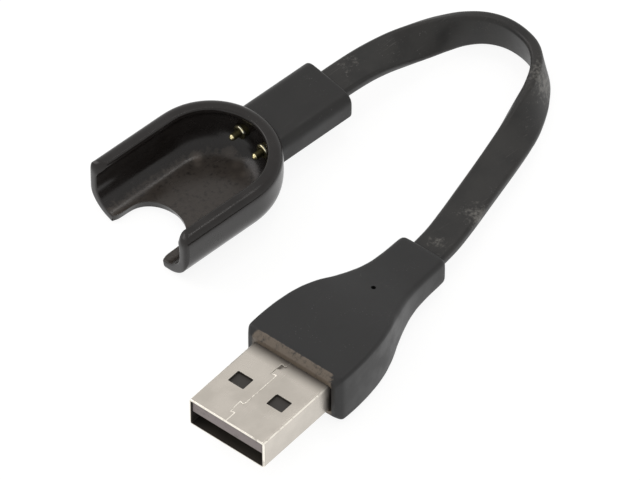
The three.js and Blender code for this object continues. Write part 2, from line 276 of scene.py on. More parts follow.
def cup_sections():
    """The wall's outer and inner outlines as (radius, height), from the floor's edge up to the rim."""
    half, top, inner = CUP_HALF, CUP_HEIGHT, CUP_HALF - CUP_WALL
    bend = CUP_CORNER - CUP_FLOOR + 0.05 * MM
    lip = CUP_HALF - CUP_WALL - CUP_LIP
    outer = arc(half - CUP_CORNER, CUP_CORNER, CUP_CORNER, -90, 0, 8)
    outer += [(half, 5.3 * MM), (half, 6.3 * MM)]
    outer += arc(half - RIM_RADIUS, top - RIM_RADIUS, RIM_RADIUS, 0, 90, 4)
    outer += [(half - RIM_RADIUS - 0.2 * MM, top)]
    inside = arc(inner - bend, CUP_FLOOR + bend, bend, -90, 0, 8)
    inside += [(inner, 5.2 * MM), (inner, 6.0 * MM), (inner - 0.06 * MM, 6.5 * MM),
               (inner - 0.3 * MM, 6.95 * MM), (lip + 0.12 * MM, 7.3 * MM), (lip, 7.6 * MM),
               (lip + 0.03 * MM, top - 0.12 * MM), (lip + 0.25 * MM, top)]
    return outer, inside


def cup_stations():
    """Stations round the cup: foot of the floor's edge (x, radius), foot of the wall and its turn."""
    notch_start = CUP_MOUTH + NOTCH_DEPTH - NOTCH_CORNER
    stations = [((CUP_MOUTH, NOTCH_HALF + 0.75 * MM), CUP_MOUTH),
                ((CUP_MOUTH + EDGE, NOTCH_HALF + 0.4 * MM), CUP_MOUTH + EDGE),
                ((CUP_MOUTH + 0.6 * MM, NOTCH_HALF + 0.06 * MM), CUP_MOUTH + 0.6 * MM),
                ((CUP_MOUTH + 1.4 * MM, NOTCH_HALF), CUP_MOUTH + 1.3 * MM)]
    steps, power = 10, 2 / 2.15
    for i in range(steps + 1):
        turn = math.pi / 2 * i / steps
        edge = (notch_start + NOTCH_CORNER * math.sin(turn) ** power,
                NOTCH_HALF * max(math.cos(turn), 0.0) ** power if i < steps else 0.0)
        stations.append((edge, CUP_MOUTH + (2.1 + 6.6 * i / steps) * MM))
    apex, foot = stations[-1][0][0], stations[-1][1]
    for i in range(1, 4):
        stations.append(((apex + (CUP_ROUND - apex) * i / 4, 0.0), foot + (CUP_ROUND - foot) * i / 4))
    return stations


def arm_end(x, y, z, share):
    """How far a point on the mouth's end face stands back, for the arms' rounded ends."""
    plan = max(abs(y) - (CUP_HALF - ARM_PLAN), 0.0)
    side = max(z - (CUP_HEIGHT - ARM_TOP), 0.0)
    back_plan = ARM_PLAN - math.sqrt(max(ARM_PLAN ** 2 - plan ** 2, 0.0))
    back_side = ARM_TOP - math.sqrt(max(ARM_TOP ** 2 - side ** 2, 0.0))
    back = (back_plan ** 3 + back_side ** 3) ** (1 / 3)
    lip = max(CUP_HALF - CUP_WALL - abs(y), 0.0) * (z > 7 * MM)
    back += lip * 0.9
    near = max(1 - (x - CUP_MOUTH) / (7 * MM), 0.0)
    softened = 0.12 * MM * max(0.0, 1 - min(share, 1 - share) * 9) if x < CUP_MOUTH + EDGE / 2 else 0.0
    return x + (back + softened) * near


def cup_mesh():
    outlines = cup_sections()
    mesh = bmesh.new()
    known = {}

    def section_point(outline, edge, foot, i, floor_z):
        floor = (0.0, None, 0.36, 0.68)
        foot_radius = outline[0][0]
        if floor_z == 0.0 and edge[0] < CUP_MOUTH + NOTCH_DEPTH + EDGE:
            bent = edge[1] / NOTCH_HALF
            edge = (edge[0] + UNDERCUT * max(1 - bent, 0.0), edge[1] + UNDERCUT * 0.6 * bent)
        if i >= len(floor):
            return foot, *outline[i - len(floor)]
        run = math.hypot(foot - edge[0], foot_radius - edge[1])
        share = EDGE / run if floor[i] is None else floor[i]
        return edge[0] + (foot - edge[0]) * share, edge[1] + (foot_radius - edge[1]) * share, floor_z

    rows = len(outlines[0]) + 4
    arms = cup_stations()
    turns = [(((CUP_ROUND, 0.0), CUP_ROUND), math.radians(90 - 180 * i / 28)) for i in range(29)]
    stations = [(s, math.pi / 2) for s in arms] + turns + [(s, -math.pi / 2) for s in reversed(arms)]

    def vertex(s, i, t):
        if (s, i, t) not in known:
            (edge, foot), turn = stations[s]
            low = section_point(outlines[0], edge, foot, i, 0.0)
            high = section_point(outlines[1], edge, foot, i, CUP_FLOOR)
            share = WALL_SHARES[t]
            x, radius, z = (a + (b - a) * share for a, b in zip(low, high))
            at = Vector((x + radius * math.cos(turn), radius * math.sin(turn), z))
            if abs(math.cos(turn)) < 1e-6:
                at.x = arm_end(x, at.y, z, share)
            known[s, i, t] = mesh.verts.new(at)
        return known[s, i, t]

    def face(*corners):
        mesh.faces.new([vertex(*c) for c in corners])

    last, top, inner = len(stations) - 1, rows - 1, len(WALL_SHARES) - 1
    for s in range(last):
        for i in range(top):
            face((s, i, 0), (s + 1, i, 0), (s + 1, i + 1, 0), (s, i + 1, 0))
            face((s, i, inner), (s, i + 1, inner), (s + 1, i + 1, inner), (s + 1, i, inner))
        for t in range(inner):
            face((s, top, t), (s + 1, top, t), (s + 1, top, t + 1), (s, top, t + 1))
            if max(stations[s][0][0][1], stations[s + 1][0][0][1]) > 0:
                face((s, 0, t), (s, 0, t + 1), (s + 1, 0, t + 1), (s + 1, 0, t))
    for s in (0, last):
        for i in range(top):
            for t in range(inner):
                face((s, i, t), (s, i, t + 1), (s, i + 1, t + 1), (s, i + 1, t))
    weld(mesh)
    return mesh


def effect_group(name, inputs, outputs):
    """A shader node group with named sockets. Inputs are (name, kind, value)."""
    tree = bpy.data.node_groups.new(name, "ShaderNodeTree")
    for label, kind, value in inputs:
        socket = tree.interface.new_socket(label, in_out="INPUT", socket_type=kind)
        socket.default_value = value
    for label, kind in outputs:
        tree.interface.new_socket(label, in_out="OUTPUT", socket_type=kind)
    return tree, tree.nodes.new("NodeGroupInput"), tree.nodes.new("NodeGroupOutput")


def math_node(tree, operation, a, b=None, clamp=False):
    made = tree.nodes.new("ShaderNodeMath")
    made.operation, made.use_clamp = operation, clamp
    for i, value in enumerate((a, b)):
        if isinstance(value, (int, float)):
            made.inputs[i].default_value = value
        elif value is not None:
            tree.links.new(value, made.inputs[i])
    return made.outputs[0]


def ramp_between(tree, value, low, high):
    """0 below low, 1 above high, smooth between."""
    made = tree.nodes.new("ShaderNodeMapRange")
    made.interpolation_type = "SMOOTHSTEP"
    for i, v in enumerate((value, low, high)):
        if isinstance(v, (int, float)):
            made.inputs[i].default_value = v
        else:
            tree.links.new(v, made.inputs[i])
    return made.outputs[0]


NUMBER, COLOUR = "NodeSocketFloat", "NodeSocketColor"


def make_grain():
    """Fine moulded grain over slow waves: Height for bumps, Mottle for colour and gloss."""
    tree, given, out = effect_group("moulded_grain", [("Grain", NUMBER, 6000.0), ("Waves", NUMBER, 260.0)],
                                    [("Height", NUMBER), ("Mottle", NUMBER)])
    link = tree.links.new
    where = add(tree, "ShaderNodeTexCoord")
    fine = add(tree, "ShaderNodeTexNoise", Detail=3.0, Roughness=0.6)
    slow = add(tree, "ShaderNodeTexNoise", Detail=4.0, Roughness=0.55)
    for noise, label in ((fine, "Grain"), (slow, "Waves")):
        link(where.outputs["Object"], noise.inputs["Vector"])
        link(given.outputs[label], noise.inputs["Scale"])
    waved = math_node(tree, "MULTIPLY", slow.outputs[0], 0.35)
    link(math_node(tree, "ADD", fine.outputs[0], waved), out.inputs["Height"])
    link(ramp_between(tree, slow.outputs[0], 0.33, 0.67), out.inputs["Mottle"])
    return tree


def make_dust():
    """Specks of dust gathered in patches."""
    tree, given, out = effect_group("dust", [("Specks", NUMBER, 2500.0), ("Amount", NUMBER, 0.3)],
                                    [("Mask", NUMBER)])
    link = tree.links.new
    where = add(tree, "ShaderNodeTexCoord")
    specks = add(tree, "ShaderNodeTexVoronoi", Randomness=1.0)
    patches = add(tree, "ShaderNodeTexNoise", Scale=320.0, Detail=3.0)
    link(where.outputs["Object"], specks.inputs["Vector"])
    link(given.outputs["Specks"], specks.inputs["Scale"])
    link(where.outputs["Object"], patches.inputs["Vector"])
    dots = ramp_between(tree, specks.outputs["Distance"], 0.22, 0.06)
    patch = ramp_between(tree, patches.outputs[0], 0.5, 0.72)
    both = math_node(tree, "MULTIPLY", dots, patch)
    link(math_node(tree, "MULTIPLY", both, given.outputs["Amount"], clamp=True), out.inputs["Mask"])
    return tree


def make_scuffs():
    """Short fine scratches that run one way, broken up into patches."""
    inputs = [("Turn", "NodeSocketVector", (0, 0, 0)), ("Length", NUMBER, 300.0), ("Fine", NUMBER, 5200.0),
              ("Amount", NUMBER, 0.4)]
    tree, given, out = effect_group("scuffs", inputs, [("Mask", NUMBER)])
    link = tree.links.new
    where = add(tree, "ShaderNodeTexCoord")
    place = add(tree, "ShaderNodeMapping")
    stretch = add(tree, "ShaderNodeCombineXYZ")
    lines = add(tree, "ShaderNodeTexNoise", Scale=1.0, Detail=2.0)
    patches = add(tree, "ShaderNodeTexNoise", Scale=240.0, Detail=2.0)
    link(where.outputs["Object"], place.inputs["Vector"])
    link(given.outputs["Turn"], place.inputs["Rotation"])
    link(given.outputs["Length"], stretch.inputs[0])
    link(given.outputs["Fine"], stretch.inputs[1])
    link(given.outputs["Fine"], stretch.inputs[2])
    scaled = add(tree, "ShaderNodeVectorMath", operation="MULTIPLY")
    link(place.outputs[0], scaled.inputs[0])
    link(stretch.outputs[0], scaled.inputs[1])
    link(scaled.outputs[0], lines.inputs["Vector"])
    link(where.outputs["Object"], patches.inputs["Vector"])
    line = ramp_between(tree, lines.outputs[0], 0.6, 0.74)
    patch = ramp_between(tree, patches.outputs[0], 0.45, 0.7)
    both = math_node(tree, "MULTIPLY", line, patch)
    link(math_node(tree, "MULTIPLY", both, given.outputs["Amount"], clamp=True), out.inputs["Mask"])
    return tree


def make_rubbing_and_glint():
    """Edges rubbed by handling, from the attribute that mark_edges stores; on metal the same mask also paints
    highlights along the edges.
    """
    tree, given, out = effect_group("edge_rubbing_and_glint", [("Amount", NUMBER, 0.5), ("Breakup", NUMBER, 1500.0)],
                                    [("Mask", NUMBER)])
    link = tree.links.new
    where = add(tree, "ShaderNodeTexCoord")
    edge = add(tree, "ShaderNodeAttribute", attribute_name="edge")
    breakup = add(tree, "ShaderNodeTexNoise", Detail=4.0, Roughness=0.65)
    link(where.outputs["Object"], breakup.inputs["Vector"])
    link(given.outputs["Breakup"], breakup.inputs["Scale"])
    worn = ramp_between(tree, edge.outputs["Fac"], 0.25, 0.8)
    rough = ramp_between(tree, breakup.outputs[0], 0.35, 0.7)
    both = math_node(tree, "MULTIPLY", worn, rough)
    link(math_node(tree, "MULTIPLY", both, given.outputs["Amount"], clamp=True), out.inputs["Mask"])
    return tree


GRAIN, DUST, SCUFFS, RUBBING_AND_GLINT = make_grain(), make_dust(), make_scuffs(), make_rubbing_and_glint()


def use_group(tree, group, **values):
    made = tree.nodes.new("ShaderNodeGroup")
    made.node_tree = group
    for name, value in values.items():
        made.inputs[name].default_value = value
    return made


def blend_colour(tree, share, low, high):
    """A colour between low and high, each an RGB tuple or a socket."""
    made = tree.nodes.new("ShaderNodeMix")
    made.data_type = "RGBA"
    tree.links.new(share, made.inputs["Factor"])
    for label, value in (("A", low), ("B", high)):
        socket = next(s for s in made.inputs if s.name == label and s.type == "RGBA")
        if isinstance(value, tuple):
            socket.default_value = (*value, 1)
        else:
            tree.links.new(value, socket)
    return next(s for s in made.outputs if s.type == "RGBA")


GLOSS_RANGE = 0.12
DUST_COLOUR = (0.16, 0.155, 0.15)


def moulded(name, dark, light, worn, roughness, grain=6000.0, depth=0.012, dust=0.25, scuffs=0.3,
            rubbing=0.45, turn=0.0, specular=0.42, lightening_colour=(0.15, 0.145, 0.14)):
    """A moulded plastic or rubber: mottled colour, grain, faint scratches, rubbed edges, dust, and a
    paler patchy tone where a piece stores its lightening attribute, turned into a bright painted reflection
    above 1."""
    made = bpy.data.materials.new(name)
    tree = nodes_of(made)
    link = tree.links.new
    face = add(tree, "ShaderNodeBsdfPrincipled")
    face.inputs["Specular IOR Level"].default_value = specular
    out = add(tree, "ShaderNodeOutputMaterial")
    link(face.outputs[0], out.inputs["Surface"])
    skin = use_group(tree, GRAIN, Grain=grain)
    lines = use_group(tree, SCUFFS, Turn=(0, 0, -turn), Amount=scuffs)
    specks = use_group(tree, DUST, Amount=dust)
    rubbed_and_glinting = use_group(tree, RUBBING_AND_GLINT, Amount=rubbing)
    colour = blend_colour(tree, skin.outputs["Mottle"], dark, light)
    colour = blend_colour(tree, rubbed_and_glinting.outputs["Mask"], colour, worn)
    colour = blend_colour(tree, lines.outputs["Mask"], colour, worn)
    colour = blend_colour(tree, specks.outputs["Mask"], colour, DUST_COLOUR)
    lightening = add(tree, "ShaderNodeAttribute", attribute_name="lightening")
    where = add(tree, "ShaderNodeTexCoord")
    blots = add(tree, "ShaderNodeTexNoise", Scale=1500.0, Detail=4.0, Roughness=0.7)
    link(where.outputs["Object"], blots.inputs["Vector"])
    spread = math_node(tree, "MULTIPLY", math_node(tree, "SUBTRACT", blots.outputs[0], 0.5), 1.6)
    patchy = ramp_between(tree, math_node(tree, "ADD", lightening.outputs["Fac"], spread), 0.42, 0.95)
    lightened = math_node(tree, "MULTIPLY", patchy, math_node(tree, "GREATER_THAN", lightening.outputs["Fac"], 0.02))
    colour = blend_colour(tree, lightened, colour, lightening_colour)
    # Painted reflection: where the attribute goes above 1 the tone turns much brighter.
    painted_reflection = ramp_between(tree, lightening.outputs["Fac"], 1.0, 2.0)
    colour = blend_colour(tree, painted_reflection, colour, tuple(min(2.6 * c, 0.6) for c in lightening_colour))
    link(colour, face.inputs["Base Color"])
    swing = math_node(tree, "MULTIPLY", skin.outputs["Mottle"], GLOSS_RANGE)
    dulled = math_node(tree, "MULTIPLY", lines.outputs["Mask"], 0.25)
    gloss = math_node(tree, "ADD", math_node(tree, "ADD", swing, dulled), roughness - GLOSS_RANGE / 2)
    link(gloss, face.inputs["Roughness"])
    bump = add(tree, "ShaderNodeBump", Strength=0.35, Distance=depth * MM)
    sunk = math_node(tree, "MULTIPLY", lines.outputs["Mask"], 0.8)
    height = math_node(tree, "SUBTRACT", skin.outputs["Height"], sunk)
    link(height, bump.inputs["Height"])
    link(bump.outputs[0], face.inputs["Normal"])
    return made


cup = piece_of(cup_mesh(), "cup_shell")
rounded(cup)
cut_away(cup, *[rod(f"hole_{i}", 0.96 * MM, 2.5 * MM, 6 * MM, y, PIN_HEIGHT)
                for i, y in enumerate((PIN_SIDE, -PIN_SIDE))])
shade(cup)
mark_edges(cup)
# Painted reflections: lighter patches on the floor and at the wall's foot where soft light glints in the
# gloss; place, reach (mm) and strength.
PAINTED_REFLECTIONS = [((-2.15, 4.9, 1.3), 1.4, 1.75), ((-2.7, 4.1, 1.2), 1.3, 1.45), ((1.4, 2.6, 1.2), 1.6, 1.35),
        ((0.9, 0.7, 1.2), 1.7, 1.4), ((0.6, -1.2, 1.2), 1.6, 1.35)]
lightened = []
for v in cup.data.vertices:
    on_floor = 0.9 * max(1 - abs(v.co.z - CUP_FLOOR) / (1.0 * MM), 0.0) * (v.normal.z > 0.5)
    reflection_share = max(most * (1 - ((v.co - Vector(spot) * MM).length / (reach * MM)) ** 2)
               for spot, reach, most in PAINTED_REFLECTIONS)
    lightened.append(max(on_floor, reflection_share if v.normal.z > 0.05 else 0.0))
store(cup, "lightening", lightened)
cup.data.materials.append(moulded(
    "cup_plastic", (0.0100, 0.0082, 0.0074), (0.0140, 0.0120, 0.0112), (0.034, 0.031, 0.030), 0.22,
    grain=5200.0, depth=0.006, dust=0.3, scuffs=0.22, rubbing=0.2, specular=0.36,
    lightening_colour=(0.050, 0.042, 0.036)))
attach(cup, "body")
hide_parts("cradle_cup")

# ---- Neck -------------------------------------------------------------------------------------
# A soft PVC sleeve moulded over the pins' carrier and the cable's end. It meets the cup's outside
# wall and has a slot at its far end for the flat cable.
NECK_LOW, NECK_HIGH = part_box("neck_sleeve")
NECK_MIDDLE = (NECK_LOW + NECK_HIGH) / 2
NECK_WIDTH, NECK_HEIGHT = NECK_HIGH.y - NECK_LOW.y, NECK_HIGH.z - NECK_LOW.z
CABLE_WIDTH, CABLE_THICK, CABLE_CORNER, SLOT_GROW = 5.0 * MM, 1.7 * MM, 0.62 * MM, 0.16 * MM


def rounded_rect(half_y, half_z, radius, steps=3, crown=0.0, low=None):
    """Points (y, z) round a rectangle with round corners, with a point in the middle of each side."""
    points = []
    for sy, sz, start in ((1, 1, 0), (-1, 1, 90), (-1, -1, 180), (1, -1, 270)):
        r = min(low if low and sz < 0 else radius, half_y * 0.98, half_z * 0.98)
        points += arc(sy * (half_y - r), sz * (half_z - r), r, start, start + 90, steps)
        if start in (0, 180):
            points += [(sy * (half_y - r) * k, sz * (half_z + crown * (1 - k * k))) for k in (0.5, 0.0, -0.5)]
        else:
            points.append((sy * half_y, 0.0))
    return points


def loft(name, rings, end_caps=(0.72, 0.4)):
    """A closed body through rings of points, its ends closed by shrinking rings and a middle point."""
    mesh = bmesh.new()

    def shrink(ring, share):
        middle = sum(ring, Vector()) / len(ring)
        return [middle + (p - middle) * share for p in ring]

    first = [shrink(rings[0], k) for k in sorted(end_caps)]
    last = [shrink(rings[-1], k) for k in sorted(end_caps, reverse=True)]
    made = [[mesh.verts.new(p) for p in ring] for ring in first + list(rings) + last]
    count = len(made[0])
    for a, b in zip(made, made[1:]):
        for i in range(count):
            j = (i + 1) % count
            mesh.faces.new((a[i], a[j], b[j], b[i]))
    for ring in (made[0], made[-1]):
        middle = mesh.verts.new(sum((v.co for v in ring), Vector()) / count)
        for i in range(count):
            mesh.faces.new((ring[i], ring[(i + 1) % count], middle))
    weld(mesh)
    return piece_of(mesh, name)


def cable_slot(name, start, end, z, place=Matrix()):
    """The tool that cuts the slot for the flat cable."""
    outline = rounded_rect((CABLE_WIDTH + SLOT_GROW) / 2, (CABLE_THICK + SLOT_GROW) / 2, CABLE_CORNER, 4)
    tool = loft(name, [[Vector((x, y, z + h)) for y, h in outline] for x in (start, end)])
    tool.data.transform(place)
    return tool


def neck_mesh():
    end_round, near = 0.4 * MM, 0.12 * MM
    outline = lambda inset: rounded_rect(NECK_WIDTH / 2 + 0.1 * MM - inset, NECK_HEIGHT / 2 - inset,
                                         1.4 * MM - inset * 0.5, 4, low=0.55 * MM)

    def against_cup(y, z):
        low = max(CUP_CORNER - z, 0.0)
        radius = CUP_HALF - CUP_CORNER + math.sqrt(CUP_CORNER ** 2 - low ** 2) - near
        return CUP_ROUND + math.sqrt(radius ** 2 - y ** 2)

    rings = []
    flat = NECK_HIGH.x - end_round
    for share in (0.0, 0.04, 0.3, 0.7, 0.96):
        places = [(y, NECK_MIDDLE.z + h) for y, h in outline(0.0)]
        rings.append([Vector((against_cup(y, z) * (1 - share) + flat * share, y, z)) for y, z in places])
    for turn in (0, 25, 50, 75, 90):
        a = math.radians(turn)
        inset = end_round * (1 - math.cos(a))
        x = flat + end_round * math.sin(a)
        rings.append([Vector((x, y, NECK_MIDDLE.z + h)) for y, h in outline(inset)])
    return rings


neck = loft("neck_grip", neck_mesh(), (0.85, 0.45))
rounded(neck)
cut_away(neck, cable_slot("slot", 12.5 * MM, 18 * MM, CABLE_EXIT))
shade(neck)
mark_edges(neck)
neck.data.materials.append(moulded(
    "neck_rubber", (0.0055, 0.0052, 0.0050), (0.0090, 0.0084, 0.0080), (0.04, 0.038, 0.036), 0.46,
    grain=4200.0, depth=0.014, dust=0.35, scuffs=0.3, rubbing=0.4))
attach(neck, "body")
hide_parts("neck_sleeve")

# ---- Sprung pins ------------------------------------------------------------------------------
# Each pin is a turned brass barrel pressed through the cup's wall, a plunger that slides in it and
# a steel coil spring behind the plunger. Barrel and plunger are plated with gold.
BARREL_FRONT, BARREL_REAR = 2.7 * MM, 8.1 * MM
COLLAR, BARREL_OUTER, BORE, BARREL_MOUTH, TAIL = 1.05 * MM, 0.92 * MM, 0.72 * MM, 0.52 * MM, 0.35 * MM
PLUNGER_TIP, SHAFT, HEAD, HEAD_X = 1.15 * MM, 0.48 * MM, 0.68 * MM, 3.25 * MM
SPRING_WIRE, SPRING_TURNS = 0.09 * MM, 6


def turned(name, profile, y, z):
    """A piece turned about X from a profile of (x, radius)."""
    mesh = bmesh.new()
    rings, steps = [], 48
    for x, radius in profile:
        if radius < 1e-9:
            rings.append([mesh.verts.new((x, y, z))] * steps)
        else:
            rings.append([mesh.verts.new((x, y + radius * math.cos(a), z + radius * math.sin(a)))
                          for a in (2 * math.pi * k / steps for k in range(steps))])
    for a, b in zip(rings, rings[1:]):
        for i in range(steps):
            j = (i + 1) % steps
            corners = list(dict.fromkeys((a[i], a[j], b[j], b[i])))
            if len(corners) > 2:
                mesh.faces.new(corners)
    weld(mesh)
    return piece_of(mesh, name)


def barrel_profile():
    lead = 0.08 * MM
    front = [(BARREL_REAR - 0.5 * MM, 0.0), (BARREL_REAR - 0.5 * MM, BORE), (BARREL_FRONT + 0.5 * MM, BORE),
             (BARREL_FRONT + 0.5 * MM, BARREL_MOUTH), (BARREL_FRONT + lead, BARREL_MOUTH)]
    lip = arc(BARREL_FRONT + lead, BARREL_MOUTH + lead, lead, 270, 180, 3)
    rim = arc(BARREL_FRONT + 0.14 * MM, COLLAR - 0.14 * MM, 0.14 * MM, 180, 90, 4)
    back = [(BARREL_FRONT + 0.31 * MM, COLLAR), (BARREL_FRONT + 0.35 * MM, COLLAR - 0.04 * MM),
            (BARREL_FRONT + 0.35 * MM, BARREL_OUTER), (BARREL_REAR - 0.05 * MM, BARREL_OUTER),
            (BARREL_REAR, BARREL_OUTER - 0.05 * MM), (BARREL_REAR, TAIL), (BARREL_REAR + 1.65 * MM, TAIL),
            (BARREL_REAR + 1.7 * MM, TAIL - 0.05 * MM), (BARREL_REAR + 1.7 * MM, 0.0)]
    return front + lip[1:] + rim + back


def plunger_profile():
    nose = [(x, max(r, 0.0)) for x, r in arc(PLUNGER_TIP + SHAFT, 0.0, SHAFT, 180, 90, 10)]
    head = [(HEAD_X, SHAFT), (HEAD_X, HEAD - 0.04 * MM), (HEAD_X + 0.04 * MM, HEAD),
            (HEAD_X + 0.96 * MM, HEAD), (HEAD_X + 1.0 * MM, HEAD - 0.04 * MM), (HEAD_X + 1.0 * MM, 0.0)]
    return nose + head


def open_tree(tree, measures):
    """Gives a Geometry Nodes tree its sockets: a base, its measures, a material and the result."""
    for label, kind in [("Geometry", "NodeSocketGeometry"), *measures, ("Material", "NodeSocketMaterial")]:
        tree.interface.new_socket(label, in_out="INPUT", socket_type=kind)
    tree.interface.new_socket("Geometry", in_out="OUTPUT", socket_type="NodeSocketGeometry")


def spring_tree():
    """Geometry Nodes for a coil spring along X: a helix swept with round wire."""
    tree = bpy.data.node_groups.new("coil_spring", "GeometryNodeTree")
    link = tree.links.new
    open_tree(tree, [(label, NUMBER) for label in ("Radius", "Turns", "Length", "Wire")]
              + [("Place", "NodeSocketVector")])
    given, out = tree.nodes.new("NodeGroupInput"), tree.nodes.new("NodeGroupOutput")
    helix = add(tree, "GeometryNodeCurveSpiral", Resolution=24)
    turn = add(tree, "GeometryNodeTransform", Rotation=(0, math.pi / 2, 0))
    ring = add(tree, "GeometryNodeCurvePrimitiveCircle", Resolution=10)
    sweep = add(tree, "GeometryNodeCurveToMesh")
    sweep.inputs["Fill Caps"].default_value = True
    paint = add(tree, "GeometryNodeSetMaterial")
    real = add(tree, "GeometryNodeRealizeInstances")
    link(given.outputs["Turns"], helix.inputs["Rotations"])
    for end in ("Start Radius", "End Radius"):
        link(given.outputs["Radius"], helix.inputs[end])
    link(given.outputs["Length"], helix.inputs["Height"])
    link(given.outputs["Wire"], ring.inputs["Radius"])
    link(helix.outputs[0], turn.inputs["Geometry"])
    link(given.outputs["Place"], turn.inputs["Translation"])
    link(turn.outputs[0], sweep.inputs["Curve"])
    link(ring.outputs[0], sweep.inputs["Profile Curve"])
    link(sweep.outputs[0], real.inputs[0])
    link(real.outputs[0], paint.inputs["Geometry"])
    link(given.outputs["Material"], paint.inputs["Material"])
    link(paint.outputs[0], out.inputs[0])
    return tree


def grow_from(name, tree, base, **values):
    """Runs a Geometry Nodes tree on a base mesh and keeps the result as a plain mesh."""
    piece = bpy.data.objects.new(name, base)
    bpy.context.scene.collection.objects.link(piece)
    grown = piece.modifiers.new("grown", "NODES")
    grown.node_group = tree
    sockets = {s.name: s.identifier for s in tree.interface.items_tree if s.in_out == "INPUT"}
    for label, value in values.items():
        grown[sockets[label]] = value
    return settle(piece)


def metal(name, dark, light, roughness, brushed=0.10, turn=0.0, bump_depth=0.002, shade_and_tarnish=(0.10, 0.09, 0.08)):
    """Plated metal: brushed streaks, small stains, edges made bright as rubbed plating and as painted
    highlights, and a dull dark tone where a piece stores the attribute "inner": painted shade, and inside the
    shell also unplated metal."""
    made = bpy.data.materials.new(name)
    tree = nodes_of(made)
    link = tree.links.new
    face = add(tree, "ShaderNodeBsdfPrincipled", Metallic=1.0)
    out = add(tree, "ShaderNodeOutputMaterial")
    link(face.outputs[0], out.inputs["Surface"])
    skin = use_group(tree, GRAIN, Grain=9000.0, Waves=200.0)
    lines = use_group(tree, SCUFFS, Turn=(0, 0, -turn), Length=150.0, Fine=9000.0, Amount=1.0)
    rubbed_and_glinting = use_group(tree, RUBBING_AND_GLINT, Amount=6.0, Breakup=500.0)
    colour = blend_colour(tree, skin.outputs["Mottle"], dark, light)
    # Painted highlight: edges are lifted to a brighter colour, partly as rubbed plating.
    glint_colour = tuple(min(0.97, c * 1.55) for c in light)
    colour = blend_colour(tree, rubbed_and_glinting.outputs["Mask"], colour, glint_colour)
    # Painted shade: the attribute "inner" darkens the colour, and on the shell's hidden inside also stands
    # for unplated metal.
    inner = add(tree, "ShaderNodeAttribute", attribute_name="inner")
    colour = blend_colour(tree, inner.outputs["Fac"], colour, shade_and_tarnish)
    link(colour, face.inputs["Base Color"])
    streak = math_node(tree, "MULTIPLY", lines.outputs["Mask"], brushed)
    stain = math_node(tree, "MULTIPLY", skin.outputs["Mottle"], 0.06)
    gloss = math_node(tree, "ADD", math_node(tree, "ADD", streak, stain), roughness)
    gloss = math_node(tree, "ADD", gloss, math_node(tree, "MULTIPLY", inner.outputs["Fac"], 0.4))
    link(gloss, face.inputs["Roughness"])
    bump = add(tree, "ShaderNodeBump", Strength=0.3, Distance=bump_depth * MM)
    link(math_node(tree, "ADD", skin.outputs["Height"], lines.outputs["Mask"]), bump.inputs["Height"])
    link(bump.outputs[0], face.inputs["Normal"])
    return made


gold = metal("contact_gold", (0.84, 0.74, 0.40), (0.93, 0.86, 0.54), 0.22, shade_and_tarnish=(0.02, 0.017, 0.006))
steel = metal("spring_steel", (0.50, 0.50, 0.51), (0.62, 0.62, 0.62), 0.3)
SPRING = spring_tree()
spring_start, spring_end = HEAD_X + 1.1 * MM + SPRING_WIRE, BARREL_REAR - 0.6 * MM - SPRING_WIRE
for side, y in (("left", PIN_SIDE), ("right", -PIN_SIDE)):
    barrel = turned(f"barrel_{side}", barrel_profile(), y, PIN_HEIGHT)
    plunger = turned(f"plunger_{side}", plunger_profile(), y, PIN_HEIGHT)
    for made, body, stands_for, highlight_to, above in (
            (barrel, "body", "pin_barrel", BARREL_FRONT + 0.16 * MM, 0.6 * MM),
            (plunger, f"pin_{side}", "pin_plunger", PLUNGER_TIP + 0.4 * MM, 0.0)):
        shade(made, 30.0)
        mark_edges(made, 0)
        # Painted shade: each pin is darkened all over except the top of its collar and nose, which stay
        # bright as painted highlights.
        store(made, "inner", [0.0 if v.co.x < highlight_to and v.co.z > PIN_HEIGHT + above else 0.93
                              for v in made.data.vertices])
        made.data.materials.append(gold)
        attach(made, body)
        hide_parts(f"{stands_for}_{side}")
    spring = grow_from(f"spring_{side}", SPRING, bpy.data.meshes.new("spring"), Radius=0.52 * MM,
                       Turns=float(SPRING_TURNS), Length=spring_end - spring_start, Wire=SPRING_WIRE,
                       Place=(spring_start, y, PIN_HEIGHT), Material=steel)
    shade(spring, 60.0)
    mark_edges(spring, 0)
    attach(spring, "body")
    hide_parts(f"pin_spring_{side}")
    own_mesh(spring)

# ---- Plug grip --------------------------------------------------------------------------------
# The plug's soft grip is moulded over the shell's rear and the cable's end. It narrows to the
# cable, with a small vent dimple on top and a pocket round the shell at its front face.
PLUG_PLACE = Matrix.Translation(Vector((-31.44, -33.65, 4.85)) * MM) @ Euler(
    [math.radians(a) for a in (-2.5, 2.8, 8.2)], "XYZ").to_matrix().to_4x4()
PLUG_TURN = math.radians(8.2)
GRIP_OUTLINE = [(13.9, 7.75, 3.85), (16.0, 7.77, 3.88), (18.5, 7.65, 3.88), (21.0, 7.34, 3.85),
                (23.0, 6.94, 3.72), (25.0, 6.32, 3.48), (27.0, 5.52, 3.15), (29.0, 4.8, 2.8),
                (31.0, 4.22, 2.48), (33.0, 3.88, 2.25), (35.5, 3.72, 2.15), (38.4, 3.68, 2.12)]
SHELL_WIDTH, SHELL_HEIGHT, SHELL_LENGTH = 12.15 * MM, 4.5 * MM, 18.4 * MM
SHELL_WALL, SHELL_CORNER = 0.3 * MM, 0.4 * MM


def box_tool(name, low, high, radius):
    """A block along the plug with rounded long edges, used as a cutting tool."""
    half_y, half_z = (high[1] - low[1]) / 2, (high[2] - low[2]) / 2
    middle = Vector((0, (high[1] + low[1]) / 2, (high[2] + low[2]) / 2))
    outline = rounded_rect(half_y, half_z, radius, 6)
    tool = loft(name, [[middle + Vector((x, y, z)) for y, z in outline] for x in (low[0], high[0])])
    tool.data.transform(PLUG_PLACE)
    return tool


